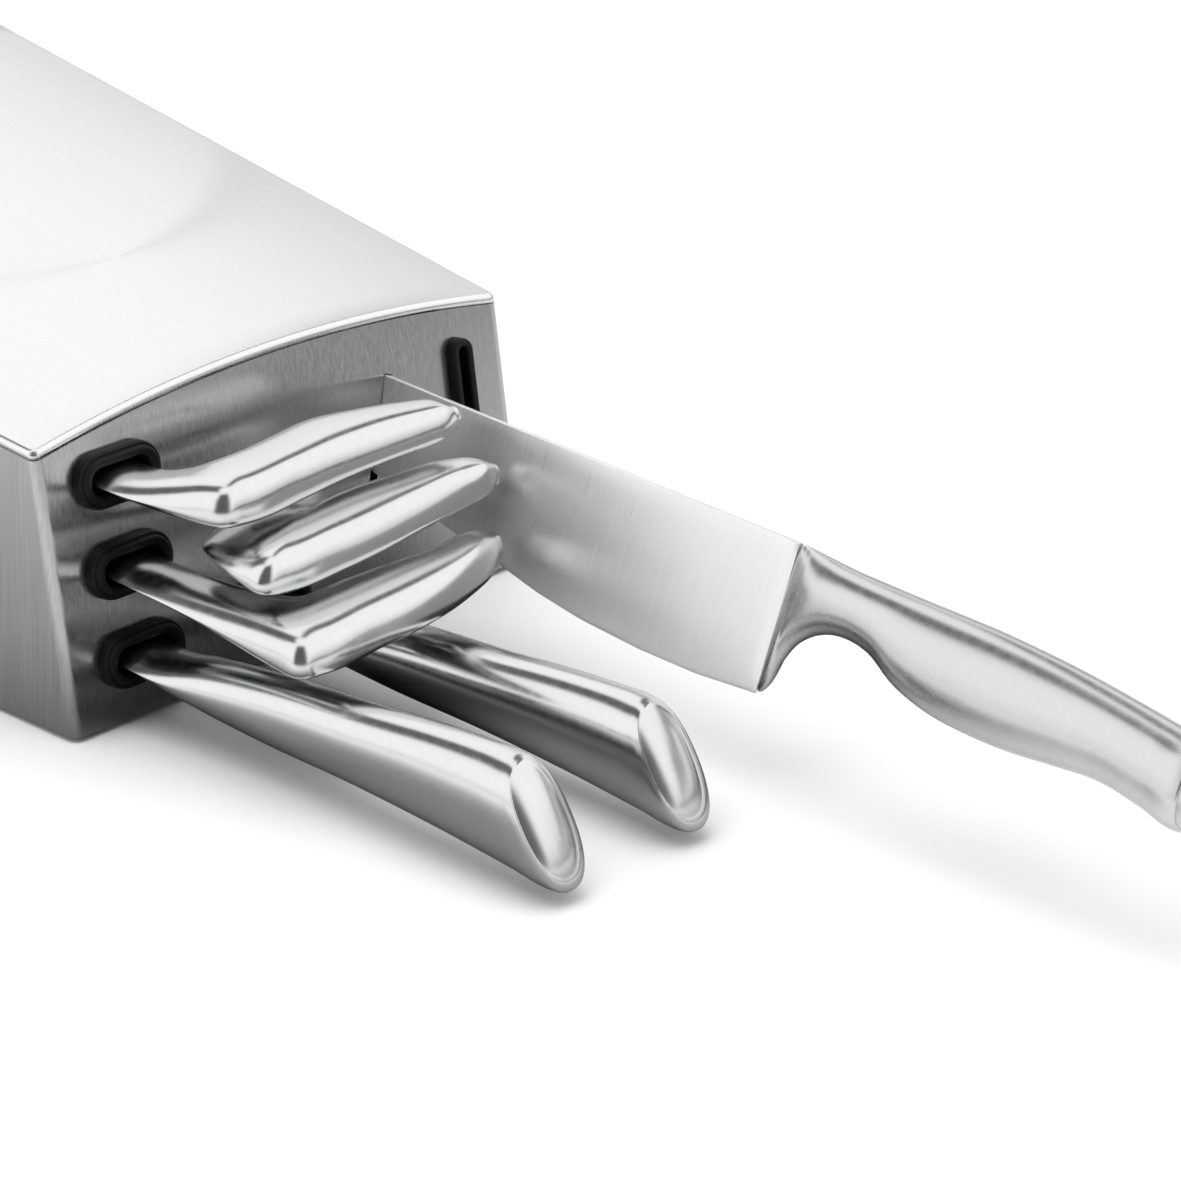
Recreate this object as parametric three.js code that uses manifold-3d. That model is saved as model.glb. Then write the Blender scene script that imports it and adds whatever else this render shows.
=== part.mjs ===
// Knife block with knives: a brushed steel housing that lies on its base, with six knives
// in rubber-lined slots of its sloping front panel, and one free slot.
// Millimetres, +Z up, origin at the centre of the base mat's underside.
// The knives point along +Y into the block, so their handles stick out towards -Y.
import * as THREE from 'three';
import { mergeVertices } from 'three/addons/utils/BufferGeometryUtils.js';
import Module from 'manifold-3d';

const wasm = await Module();
wasm.setup();

// ---- driving dimensions ----
const GAP = 0.3;             // air between two pieces that touch
const WIDTH = 162;           // housing width at the front
const DEPTH = 236;           // housing depth at the base
const SIDE_H = 73;           // side wall height at the front
const CROWN = 7.2;           // rise of the domed top at mid width
const LEAN = Math.tan(0.19); // the front panel leans back by this much per mm of height
const FLARE = 0.059;         // each side moves outwards per mm of depth
const WEDGE = 0.081;         // the side height grows per mm of depth
const SHEET = 2;             // housing sheet
const PANEL = 2;             // front and rear panel
const BASE_T = 3;            // base plate
const CROWN_STEPS = 16;      // straight pieces across the dome
const LIFT = 1.5;            // the housing's lower edge stands this far over the table
const MAT = { width: 130, depth: 196, thick: 1.2, hole: 5.2 };
const SCREW = {
  head: 4.4, headT: 0.8, bevel: 0.5, shank: 2, point: 1, length: 9, x: 34, holeR: 2.4,
};
const RIB_Y = [62, 150];     // front faces of the two inner ribs
const RIB_T = 8;
const FACE_ANGLE = Math.atan(LEAN);
const CUT_FROM = -20;        // cutters through the front panel start here and are this long
const CUT_LENGTH = 60;
const WELD = 1e-4;           // points closer than this are one point
const OVERLAP = 0.5;         // how far solids that are joined into one run into each other

// the flange of a rubber grommet, the body behind it and the slot through them
const FLANGE = {
  width: 27, height: 14.4, out: 4, rim: 1.1, body: 22.8, bodyH: 10.4, bodyFrom: -1, depth: 7,
};
const SLOT = { width: 19.2, height: 7 };
const FREE = { x: 63.9, zTop: 66.7, length: 40, width: 9.4, slot: 4.6, wall: 2, depth: 96 };
const FREE_STEP = 2;         // the free slot's grommet body is this much smaller than its flange
const SLEEVE = { width: 24, height: 8, slotW: 20, slotH: 4, length: 122, behind: 1.6, floor: 3 };
const STEAK = { width: 16, thick: 1.6, length: 106, tip: 26, point: 4, spineBow: 2, edgeBow: 1 };

// slots that hold the table knives: centre on the front panel
const SLOTS = {
  a: { x: -57, z: 61.4 },
  b: { x: -9, z: 47.5 },
  c: { x: -57, z: 38.4 },
  d: { x: -57, z: 15.4 },
  e: { x: -13, z: 15.4 },
};

// chef's knife: where its spine enters the panel, and how it lies
const CHEF = { x: 38.3, z: 61.9, roll: 0.368, yaw: 0.025, pitch: -0.019 };
const CHEF_SLOT = {
  width: 4, height: 45, top: 2.4, wall: 2.5, reach: 30, front: 18, back: 212, floor: 3,
};
const CHEF_BLADE_T = 2.2;

// bent handles: [left x, left y, right x, right y, mid height, thickness], from slot to tip
const BENT_A = [
  [-66, 14.8, -48, 14.8, 61.4, 5.2], [-66, 7, -47.8, 7, 61.4, 5.6],
  [-65, -3.5, -46, -1.5, 61.9, 7.4], [-63, -13.5, -43.6, -6.2, 62.9, 9.6],
  [-60.3, -23.6, -42.2, -8.4, 63.9, 11.4], [-58.3, -30.2, -38.8, -9.4, 64.5, 12.2],
  [-46.8, -31.4, -32.8, -8.9, 64.5, 12.4], [-30.8, -30, -22.8, -7.2, 64.5, 12.4],
  [-13.8, -28.4, -9.8, -5.4, 64.5, 12.4], [2.2, -28.2, 2.7, -8.4, 64.5, 12],
  [13.2, -28.4, 15.2, -12.4, 64.5, 10.8], [21.2, -28.2, 23.6, -16.4, 64.5, 9.2],
  [25.2, -26.6, 26.8, -21.4, 64.5, 6.2],
];
const BENT_B = [
  [-18, 12.1, 0, 12.1, 47.6, 5.2], [-18.4, 4.5, -0.2, 4.5, 47.7, 5.4],
  [-29, -3, -4, -7.5, 48.4, 6.2], [-42.6, -9.8, -9, -14.6, 49.3, 8],
  [-53.2, -18, -15, -20, 50.4, 10.2], [-58.6, -32.2, -20.5, -22.8, 51, 11.8],
  [-59.9, -44.8, -25.6, -24.2, 51.2, 12.2], [-47, -46.8, -23.6, -24, 51.2, 12.2],
  [-34, -46.4, -18.6, -22.6, 51.2, 12.2], [-19, -45.4, -9, -21.6, 51.2, 12.2],
  [-2, -43.2, 0.5, -22.2, 51.2, 11.8], [16.4, -40.4, 19.2, -24, 51.2, 10.6],
  [25.2, -39.2, 27.2, -28.6, 51.2, 8.8], [28.8, -37.8, 30.2, -32.8, 51.2, 6],
];
const BENT_C = [
  [-66, 10.4, -48, 10.4, 38.4, 5.2], [-66, 2, -48, 2, 38.4, 5.6],
  [-65.8, -15, -47, -13, 38.3, 7], [-65.4, -31.4, -45.6, -25.4, 38, 8.8],
  [-65.2, -47.6, -44, -34.2, 37.7, 10.8], [-64.8, -63.6, -41.8, -38.6, 37.4, 12.2],
  [-51.8, -65, -35.8, -39, 37.4, 12.4], [-37.8, -63.8, -29.8, -38.4, 37.4, 12.4],
  [-19.3, -62.4, -17.3, -39, 37.4, 12.4], [0.2, -58.2, 2, -40, 37.4, 11.4],
  [14.2, -52.6, 16.4, -38.8, 37.4, 9.6], [19.6, -49, 21, -41.8, 37.4, 6.8],
];

// straight handles: [out of the slot, side shift, rise, half width, half height, slant]
const STRAIGHT = [
  [-3, 0, 0, 9, 2.6, 0], [5, 0, -0.2, 9, 3, 0], [14, 0.4, -0.6, 8.9, 4.2, 0],
  [28, 1.6, 0, 8.8, 6.8, 0], [46, 2.8, 0.4, 8.5, 8.8, 0.05], [78, 4.4, 1.2, 8.1, 10.6, 0.15],
  [104, 5.4, 1.9, 8.1, 12.2, 0.35], [124, 5.9, 2.1, 8.2, 12.9, 0.55], [136, 6, 2.1, 8, 12.9, 0.69],
];
const CAP = [
  [136.4, 6, 2.1, 7.9, 12.8, 0.69], [138.4, 6, 2.1, 7.2, 12, 0.69],
  [140, 6, 2.1, 5.4, 9.6, 0.69], [141, 6, 2.1, 2.4, 5, 0.69],
];

// chef's knife in its own plane: distance out along the spine, and depth below the spine
const CHEF_SPINE = [[141.3, 0], [0, 0], [-30, 0.6], [-50, 2.4], [-65, 6]];
const CHEF_EDGE = [
  [-58, 9], [-44, 13.5], [-28, 18], [-8, 22.8], [12, 27], [32, 30.9], [51, 34.3], [68, 37.6],
  [83, 39.4], [103, 40.4], [122, 40.3], [141.3, 38.8],
];
// [out, top depth, bottom depth, half thickness]
const BOLSTER = [
  [141.6, 0, 38.4, 1.9], [143, 0, 37.4, 2.6], [145, 0.1, 29.6, 3.8], [147.2, 0.3, 24.6, 4.8],
  [151, 0.6, 20.8, 5.8], [156.4, 1, 18.3, 6.5],
];
const CHEF_HANDLE = [
  [156.7, 1, 18.2, 6.5], [163, 1.2, 17.5, 7], [170, 1.3, 18.6, 7.5], [180, 1.4, 23.6, 8.2],
  [190, 1.4, 26.3, 8.8], [202, 1.5, 27.4, 9.2], [214, 2, 27.4, 9.2], [228, 3, 26.2, 9],
  [241, 4.4, 25.4, 8.7], [254, 6, 27.2, 8.8], [264, 7.6, 29, 8.8],
];
const CHEF_CAP = [
  [264.3, 7.8, 28.9, 8.6], [269, 9.2, 28.6, 7.6], [272, 11, 27.2, 5.6], [273.6, 14, 24, 2.8],
];

// how square the handles' sections are: 2 is an ellipse
const BENT_POWER = 2.5;
const STRAIGHT_POWER = 2.4;
const CHEF_SIDE_POWER = 2.2;
const LOFT_SIDES = 20;

// ---- materials ----
function finish(color, roughness, metalness) {
  return new THREE.MeshStandardMaterial({ color, roughness, metalness });
}
const brushed = () => finish(0xc2c3c5, 0.36, 1);
const satin = () => finish(0xcfd0d2, 0.22, 1);
const bladeSteel = () => finish(0xd6d7d9, 0.28, 1);
const rubber = () => finish(0x121213, 0.6, 0);
const plastic = () => finish(0x26272a, 0.5, 0);
const zinc = () => finish(0x9a9b9e, 0.4, 1);

const root = new THREE.Group();

// ---- helpers ----
function faceY(z) {
  return LEAN * z;
}

function addMesh(parent, name, geometry, material) {
  const mesh = new THREE.Mesh(geometry, material);
  mesh.name = name;
  parent.add(mesh);
  return mesh;
}

// a closed geometry as a manifold solid
function solidOf(geometry) {
  const bare = geometry.clone();
  bare.deleteAttribute('normal');
  bare.deleteAttribute('uv');
  const merged = mergeVertices(bare, WELD);
  return new wasm.Manifold(new wasm.Mesh({
    numProp: 3,
    vertProperties: new Float32Array(merged.attributes.position.array),
    triVerts: new Uint32Array(merged.index.array),
  }));
}

// a manifold solid as a geometry
function geometryOf(solid) {
  const mesh = solid.getMesh();
  const geometry = new THREE.BufferGeometry();
  geometry.setAttribute('position', new THREE.BufferAttribute(mesh.vertProperties, mesh.numProp));
  geometry.setIndex(new THREE.BufferAttribute(mesh.triVerts, 1));
  geometry.computeVertexNormals();
  return geometry;
}

function cut(geometry, cutters) {
  let solid = solidOf(geometry);
  for (const cutter of cutters) solid = solid.subtract(solidOf(cutter));
  return geometryOf(solid);
}

function join(geometries) {
  let solid = solidOf(geometries[0]);
  for (const other of geometries.slice(1)) solid = solid.add(solidOf(other));
  return geometryOf(solid);
}

function box(sx, sy, sz, x, y, z) {
  return new THREE.BoxGeometry(sx, sy, sz).translate(x, y, z);
}

// rounded-end outline, wide along X
function stadium(width, height) {
  const r = Math.min(width, height) / 2;
  const shape = new THREE.Shape();
  if (width >= height) {
    const h = width / 2 - r;
    shape.absarc(h, 0, r, -Math.PI / 2, Math.PI / 2, false);
    shape.absarc(-h, 0, r, Math.PI / 2, Math.PI * 1.5, false);
  } else {
    const h = height / 2 - r;
    shape.absarc(0, h, r, 0, Math.PI, false);
    shape.absarc(0, -h, r, Math.PI, Math.PI * 2, false);
  }
  return shape;
}

// extrude an outline drawn in X and Z, so that it runs from y0 to y0 + length
function alongY(shape, y0, length, options = {}) {
  const geometry = new THREE.ExtrudeGeometry(shape, {
    depth: length, bevelEnabled: false, curveSegments: 8, ...options,
  });
  return geometry.rotateX(Math.PI / 2).translate(0, y0 + length, 0);
}

// move every point of a geometry
function reshape(geometry, move) {
  const pos = geometry.attributes.position;
  const p = new THREE.Vector3();
  for (let i = 0; i < pos.count; i += 1) {
    p.fromBufferAttribute(pos, i);
    move(p);
    pos.setXYZ(i, p.x, p.y, p.z);
  }
  geometry.computeVertexNormals();
  return geometry;
}

// straight block coordinates to the flared, wedge-shaped housing with its leaning front
function houseWarp(p) {
  const back = p.y / DEPTH;
  const x = p.x * (1 + (2 * FLARE * p.y) / WIDTH);
  const z = p.z * (1 + (WEDGE * p.y) / SIDE_H);
  const y = p.y + LEAN * p.z * (1 - back);
  p.set(x, y, z);
}

// loft: a closed cylinder whose rings are put on given sections
function loft(count, sides, place) {
  const geometry = new THREE.CylinderGeometry(1, 1, 1, sides, count - 1);
  return reshape(geometry, (p) => {
    const ring = Math.round((0.5 - p.y) * (count - 1));
    place(ring, p.x, p.z, p);
  });
}

// squarer than an ellipse: unit circle point to superellipse point
function squarish(value, power) {
  return Math.sign(value) * Math.abs(value) ** (2 / power);
}

// ---- housing ----
const crownRadius = ((WIDTH / 2) ** 2 + CROWN ** 2) / (2 * CROWN);

function crownZ(x, offset) {
  const centre = SIDE_H + CROWN - crownRadius;
  return centre + Math.sqrt((crownRadius - offset) ** 2 - x * x);
}

// outline of the inside of the housing, set in by the sheet and a gap
function innerOutline(inset, floor) {
  const half = WIDTH / 2 - inset;
  const steps = CROWN_STEPS;
  const shape = new THREE.Shape();
  shape.moveTo(-half, floor);
  shape.lineTo(half, floor);
  for (let i = 0; i <= steps; i += 1) {
    const x = half - (2 * half * i) / steps;
    shape.lineTo(x, crownZ(x, inset));
  }
  return shape;
}

function topOutline() {
  const half = WIDTH / 2;
  const steps = CROWN_STEPS;
  const shape = new THREE.Shape();
  for (let i = 0; i <= steps; i += 1) {
    const x = -half + (2 * half * i) / steps;
    const z = crownZ(Math.min(Math.max(x, -half + SHEET), half - SHEET), SHEET);
    if (i === 0) shape.moveTo(x, z);
    else shape.lineTo(x, z);
  }
  for (let i = 0; i <= steps; i += 1) {
    const x = half - (2 * half * i) / steps;
    shape.lineTo(x, crownZ(x, 0));
  }
  return shape;
}

function rectangle(x0, z0, x1, z1) {
  const shape = new THREE.Shape();
  shape.moveTo(x0, z0);
  shape.lineTo(x1, z0);
  shape.lineTo(x1, z1);
  shape.lineTo(x0, z1);
  return shape;
}

function screwPlaces() {
  const places = [];
  for (const y of RIB_Y) {
    for (const side of [-1, 1]) places.push([side * SCREW.x, y + RIB_T / 2]);
  }
  return places;
}

function upright(radius, z0, z1, x, y) {
  const geometry = new THREE.CylinderGeometry(radius, radius, z1 - z0, 24);
  return geometry.rotateX(Math.PI / 2).translate(x, y, (z0 + z1) / 2);
}

// everything below is drawn with y = 0 at the front lower edge and z = 0 at the lower edge
const block = new THREE.Group();
block.position.set(0, -DEPTH / 2, LIFT);
root.add(block);

// ---- cutters that follow the slots ----
function onFace(geometry, x, z) {
  return geometry.rotateX(-FACE_ANGLE).translate(x, faceY(z), z);
}

// a cutter with rounded ends, square to the front panel
function faceHole(width, height, x, z) {
  return onFace(alongY(stadium(width, height), CUT_FROM, CUT_LENGTH), x, z);
}

function freeMiddle() {
  return FREE.zTop - FREE.length / 2;
}

function chefMatrix() {
  const out = new THREE.Vector3(Math.sin(CHEF.yaw), -1, Math.sin(CHEF.pitch)).normalize();
  const down = new THREE.Vector3(-Math.sin(CHEF.roll), 0, -Math.cos(CHEF.roll));
  const side = new THREE.Vector3().crossVectors(out, down).normalize();
  down.crossVectors(side, out);
  const matrix = new THREE.Matrix4().makeBasis(out, down, side);
  return matrix.setPosition(CHEF.x, faceY(CHEF.z), CHEF.z);
}

// a bar in the chef's knife frame, given between two distances out and two depths
function chefBar(out0, out1, top, bottom, thick) {
  const sizeX = out1 - out0;
  const sizeY = bottom - top;
  return box(sizeX, sizeY, thick, (out0 + out1) / 2, (top + bottom) / 2, 0);
}

function chefCutter() {
  const { reach, top, height, width } = CHEF_SLOT;
  return chefBar(-reach, reach, -top, height - top, width).applyMatrix4(chefMatrix());
}

function buildHousing() {
  const half = WIDTH / 2;
  const wallTop = crownZ(half - SHEET, SHEET) - GAP;
  for (const [name, x0] of [['shell_left', -half], ['shell_right', half - SHEET]]) {
    const wall = alongY(rectangle(x0, 0, x0 + SHEET, wallTop), 0, DEPTH);
    addMesh(block, name, reshape(wall, houseWarp), brushed());
  }
  const top = reshape(alongY(topOutline(), 0, DEPTH), houseWarp);
  addMesh(block, 'shell_top', top, brushed());

  const inset = SHEET + GAP;
  const front = reshape(alongY(innerOutline(inset, 0), 0, PANEL), houseWarp);
  const holes = Object.values(SLOTS).map(
    ({ x, z }) => faceHole(FLANGE.body + 2 * GAP, FLANGE.bodyH + 2 * GAP, x, z),
  );
  const room = 2 * GAP - FREE_STEP;
  holes.push(faceHole(FREE.width + room, FREE.length + room, FREE.x, freeMiddle()));
  holes.push(chefCutter());
  addMesh(block, 'front_panel', cut(front, holes), brushed());

  const rear = alongY(innerOutline(inset, 0), DEPTH - PANEL, PANEL);
  addMesh(block, 'rear_panel', reshape(rear, houseWarp), brushed());

  const plate = alongY(
    rectangle(-half + inset, 0, half - inset, BASE_T), PANEL + GAP, DEPTH - 2 * (PANEL + GAP),
  );
  const screwHoles = screwPlaces().map(([x, y]) => upright(SCREW.holeR, -BASE_T, 2 * BASE_T, x, y));
  addMesh(block, 'base_plate', cut(reshape(plate, houseWarp), screwHoles), zinc());
}

function buildBase() {
  const mat = box(MAT.width, MAT.depth, MAT.thick, 0, DEPTH / 2, -LIFT + MAT.thick / 2);
  const holes = screwPlaces().map(([x, y]) => upright(MAT.hole, -2 * LIFT, LIFT, x, y));
  addMesh(block, 'base_mat', cut(mat, holes), rubber());
  screwPlaces().forEach(([x, y], i) => {
    const headTop = -GAP;
    const { head, headT, bevel, shank, point, length } = SCREW;
    const profile = [
      [0, headTop - headT], [head - bevel, headTop - headT], [head, headTop - headT + bevel],
      [head, headTop], [shank, headTop], [shank, length - point], [shank - point, length],
      [0, length],
    ].map(([r, z]) => new THREE.Vector2(r, z));
    const screw = new THREE.LatheGeometry(profile, 20).rotateX(Math.PI / 2);
    addMesh(block, `base_screw_${i + 1}`, screw.translate(x, y, 0), zinc());
  });
}

// sleeves start just behind the grommets
function sleeveFront(z) {
  return faceY(z) + FLANGE.depth + SLEEVE.behind;
}

function sleeveBar(slot, width, height, front, length) {
  return box(width, length, height, slot.x, front + length / 2, slot.z);
}

function freeBounds() {
  const inset = FREE_STEP / 2;
  return {
    front: sleeveFront(FREE.zTop), low: FREE.zTop - FREE.length + inset, high: FREE.zTop - inset,
  };
}

function buildRibs() {
  RIB_Y.forEach((y, i) => {
    const plain = alongY(innerOutline(SHEET + GAP, BASE_T + GAP), y, RIB_T);
    const cutters = Object.values(SLOTS).map(
      (slot) => sleeveBar(slot, SLEEVE.width + 2 * GAP, SLEEVE.height + 2 * GAP, 0, DEPTH),
    );
    const wall = CHEF_SLOT.wall + GAP;
    const chef = chefBar(-DEPTH, CHEF_SLOT.front, -CHEF_SLOT.top - wall,
      CHEF_SLOT.height - CHEF_SLOT.top + wall, CHEF_SLOT.width + 2 * wall);
    cutters.push(chef.applyMatrix4(chefMatrix()));
    for (const [sx, sy] of screwPlaces()) {
      cutters.push(upright(SCREW.holeR, 0, SCREW.length + SCREW.point, sx, sy));
    }
    const inside = y < freeBounds().front + FREE.depth;
    const rib = reshape(plain, houseWarp);
    if (!inside) {
      addMesh(block, `rib_${i + 1}`, cut(rib, cutters), plastic());
      return;
    }
    // the free slot's sleeve runs through this rib, which is in two pieces there
    const reach = 2 * DEPTH;
    const edge = FREE.slot / 2 + FREE.wall + GAP;
    const right = box(reach, reach, reach, FREE.x - edge + reach / 2, 0, 0);
    const left = box(reach, reach, reach, FREE.x + edge - reach / 2, 0, 0);
    addMesh(block, `rib_${i + 1}`, cut(rib, [...cutters, right]), plastic());
    addMesh(block, `rib_${i + 1}_side`, cut(rib, [left]), plastic());
  });
}

function buildSleeves() {
  for (const [key, slot] of Object.entries(SLOTS)) {
    const front = sleeveFront(slot.z);
    const outer = sleeveBar(slot, SLEEVE.width, SLEEVE.height, front, SLEEVE.length);
    const hollow = sleeveBar(slot, SLEEVE.slotW, SLEEVE.slotH, front - SLEEVE.floor, SLEEVE.length);
    addMesh(block, `sleeve_${key}`, cut(outer, [hollow]), plastic());
  }
  const slot = CHEF_SLOT;
  const low = slot.height - slot.top;
  const outer = chefBar(-slot.back, -slot.front, -slot.top - slot.wall, low + slot.wall,
    slot.width + 2 * slot.wall);
  const hollow = chefBar(slot.floor - slot.back, 0, -slot.top, low, slot.width);
  addMesh(block, 'sleeve_chef', cut(outer, [hollow]).applyMatrix4(chefMatrix()), plastic());

  const free = freeBounds();
  const middle = (free.low + free.high) / 2;
  for (const [name, side] of [['sleeve_free_left', -1], ['sleeve_free_right', 1]]) {
    const x = FREE.x + (side * (FREE.slot + FREE.wall)) / 2;
    const wall = box(FREE.wall, FREE.depth, free.high - free.low, 0, FREE.depth / 2, 0);
    addMesh(block, name, wall.translate(x, free.front, middle), plastic());
  }
}

// a rubber grommet: raised flange with a stepped edge, and a smaller body through the panel
function grommet(width, height, bodyW, bodyH, slotW, slotH) {
  const { out, rim, bodyFrom, depth } = FLANGE;
  const flange = alongY(stadium(width, height), rim - out, out - rim - GAP);
  const lip = alongY(stadium(width - 2 * rim, height - 2 * rim), -out, rim + OVERLAP);
  const body = alongY(stadium(bodyW, bodyH), bodyFrom, depth);
  const hole = alongY(stadium(slotW, slotH), CUT_FROM, CUT_LENGTH).rotateX(FACE_ANGLE);
  return cut(join([flange, lip, body]), [hole]);
}

function buildGrommets() {
  for (const [key, slot] of Object.entries(SLOTS)) {
    const { width, height, body, bodyH } = FLANGE;
    const ring = grommet(width, height, body, bodyH, SLOT.width, SLOT.height);
    addMesh(block, `grommet_${key}`, onFace(ring, slot.x, slot.z), rubber());
  }
  const { width, length, slot } = FREE;
  const ring = grommet(width, length, width - FREE_STEP, length - FREE_STEP, slot,
    length - width + slot);
  addMesh(block, 'grommet_free', onFace(ring, FREE.x, freeMiddle()), rubber());
}

// ---- table knives ----
function steakBlade(slot, start) {
  const half = STEAK.width / 2;
  const end = start + STEAK.length;
  const bend = end - STEAK.tip / 3;
  const shape = new THREE.Shape();
  shape.moveTo(-half, start);
  shape.lineTo(half, start);
  shape.lineTo(half, end - STEAK.tip);
  shape.quadraticCurveTo(half - STEAK.spineBow, bend, half - STEAK.point, end);
  shape.quadraticCurveTo(STEAK.edgeBow - half, bend, -half, end - STEAK.tip);
  const blade = new THREE.ExtrudeGeometry(shape, {
    depth: STEAK.thick, bevelEnabled: false, curveSegments: 6,
  });
  return blade.translate(slot.x, 0, slot.z - STEAK.thick / 2);
}

function bentHandle(rows) {
  return loft(rows.length, LOFT_SIDES, (ring, cx, cz, p) => {
    const [lx, ly, rx, ry, mid, thick] = rows[ring];
    const across = (1 + squarish(cx, BENT_POWER)) / 2;
    const z = mid + (squarish(cz, BENT_POWER) * thick) / 2;
    p.set(lx + (rx - lx) * across, ly + (ry - ly) * across, z);
  });
}

function straightLoft(rows, slot) {
  return loft(rows.length, LOFT_SIDES, (ring, cx, cz, p) => {
    const [out, shift, rise, halfW, halfH, slant] = rows[ring];
    const x = slot.x + shift + squarish(cx, STRAIGHT_POWER) * halfW;
    const z = squarish(cz, STRAIGHT_POWER) * halfH;
    p.set(x, faceY(slot.z) - out + slant * z, slot.z + rise + z);
  });
}

function buildTableKnives() {
  for (const [key, rows] of [['a', BENT_A], ['b', BENT_B], ['c', BENT_C]]) {
    const start = rows[0][1] + GAP;
    addMesh(block, `blade_${key}`, steakBlade(SLOTS[key], start), bladeSteel());
    addMesh(block, `handle_${key}`, bentHandle(rows), satin());
  }
  for (const key of ['d', 'e']) {
    const slot = SLOTS[key];
    const start = faceY(slot.z) - STRAIGHT[0][0] + GAP;
    addMesh(block, `blade_${key}`, steakBlade(slot, start), bladeSteel());
    addMesh(block, `handle_${key}`, straightLoft(STRAIGHT, slot), satin());
    addMesh(block, `cap_${key}`, straightLoft(CAP, slot), satin());
  }
}

// ---- chef's knife, drawn in its own plane: X out along the spine, Y down, Z sideways ----
function chefBlade() {
  const shape = new THREE.Shape();
  const points = [...CHEF_SPINE, ...CHEF_EDGE];
  shape.moveTo(...points[0]);
  for (const [out, depth] of points.slice(1)) shape.lineTo(out, depth);
  const blade = new THREE.ExtrudeGeometry(shape, { depth: CHEF_BLADE_T, bevelEnabled: false });
  return blade.translate(0, 0, -CHEF_BLADE_T / 2);
}

function chefLoft(rows) {
  return loft(rows.length, LOFT_SIDES, (ring, cx, cz, p) => {
    const [out, top, bottom, half] = rows[ring];
    const down = (top + bottom) / 2 + (squarish(cx, BENT_POWER) * (bottom - top)) / 2;
    p.set(out, down, squarish(cz, CHEF_SIDE_POWER) * half);
  });
}

function buildChefKnife() {
  const chefFrame = new THREE.Group();
  chefFrame.applyMatrix4(chefMatrix());
  block.add(chefFrame);
  addMesh(chefFrame, 'blade_chef', chefBlade(), bladeSteel());
  addMesh(chefFrame, 'bolster_chef', chefLoft(BOLSTER), satin());
  addMesh(chefFrame, 'handle_chef', chefLoft(CHEF_HANDLE), satin());
  addMesh(chefFrame, 'cap_chef', chefLoft(CHEF_CAP), satin());
}

buildHousing();
buildBase();
buildRibs();
buildSleeves();
buildGrommets();
buildTableKnives();
buildChefKnife();

export default root;
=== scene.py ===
import math

import bmesh
import bpy
from mathutils import Matrix, Vector


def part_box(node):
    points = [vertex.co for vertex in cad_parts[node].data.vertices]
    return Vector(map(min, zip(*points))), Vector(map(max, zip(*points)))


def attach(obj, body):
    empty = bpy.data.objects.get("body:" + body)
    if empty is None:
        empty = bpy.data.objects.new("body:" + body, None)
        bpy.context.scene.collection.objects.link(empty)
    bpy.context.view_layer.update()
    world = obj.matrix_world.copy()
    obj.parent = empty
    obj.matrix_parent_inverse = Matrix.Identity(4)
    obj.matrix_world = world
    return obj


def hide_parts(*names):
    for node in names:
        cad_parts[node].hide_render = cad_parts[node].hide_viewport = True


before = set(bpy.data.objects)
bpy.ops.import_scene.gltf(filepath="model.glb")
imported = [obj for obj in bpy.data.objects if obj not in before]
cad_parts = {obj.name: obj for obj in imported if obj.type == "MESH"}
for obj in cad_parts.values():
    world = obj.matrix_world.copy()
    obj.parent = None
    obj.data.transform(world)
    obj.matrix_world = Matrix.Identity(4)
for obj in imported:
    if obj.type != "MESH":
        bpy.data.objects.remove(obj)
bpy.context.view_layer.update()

# ---- driving dimensions, in millimetres ----
MM = 0.001
ORIGIN = Vector((0.0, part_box("shell_left")[0].y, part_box("shell_left")[0].z))
WIDTH = 162.0
DEPTH = 236.0
SIDE_H = 73.0
CROWN = 7.2              # rise of the domed top at mid width
FACE_ANGLE = 0.19        # the front panel leans back by this angle
LEAN = math.tan(FACE_ANGLE)
FLARE = 0.059            # each side moves outwards per mm of depth
WEDGE = 0.081            # the side height grows per mm of depth
CROWN_R = ((WIDTH / 2) ** 2 + CROWN ** 2) / (2 * CROWN)
FOLD_R = 2.6             # outer radius of the two upright folds
SHEET_T = 1.5            # housing sheet
LID_ROLL = 1.3           # radius of the lid's rolled edge
LID_SKIRT = 0.9          # upright part under the rolled edge
LID_T = 1.1
SEAM = 0.28              # gap between the lid and the walls
PANEL = 2.0              # thickness of the rear panel
PANEL_INSET = 2.3
PANEL_SOFT = 0.5         # softened edge of the rear panel
FOLD_STRIP = 0.6         # narrow strip of faces beside a fold
CUT_PAST = 1.5           # cutters run past the back of the sheet, and stand before it
CUT_BEFORE = 6.0

SLOTS = {
    "a": (-57.0, 61.4),
    "b": (-9.0, 47.5),
    "c": (-57.0, 38.4),
    "d": (-57.0, 15.4),
    "e": (-13.0, 15.4),
}
SLOT_HALF = 6.2          # half length of the straight part of a table knife's slot
HOLE_HALF_H = 5.5
FREE_X = 63.9
FREE_Z = 46.7
FREE_HALF = 15.3
FREE_HOLE_HALF_W = 3.2

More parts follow.
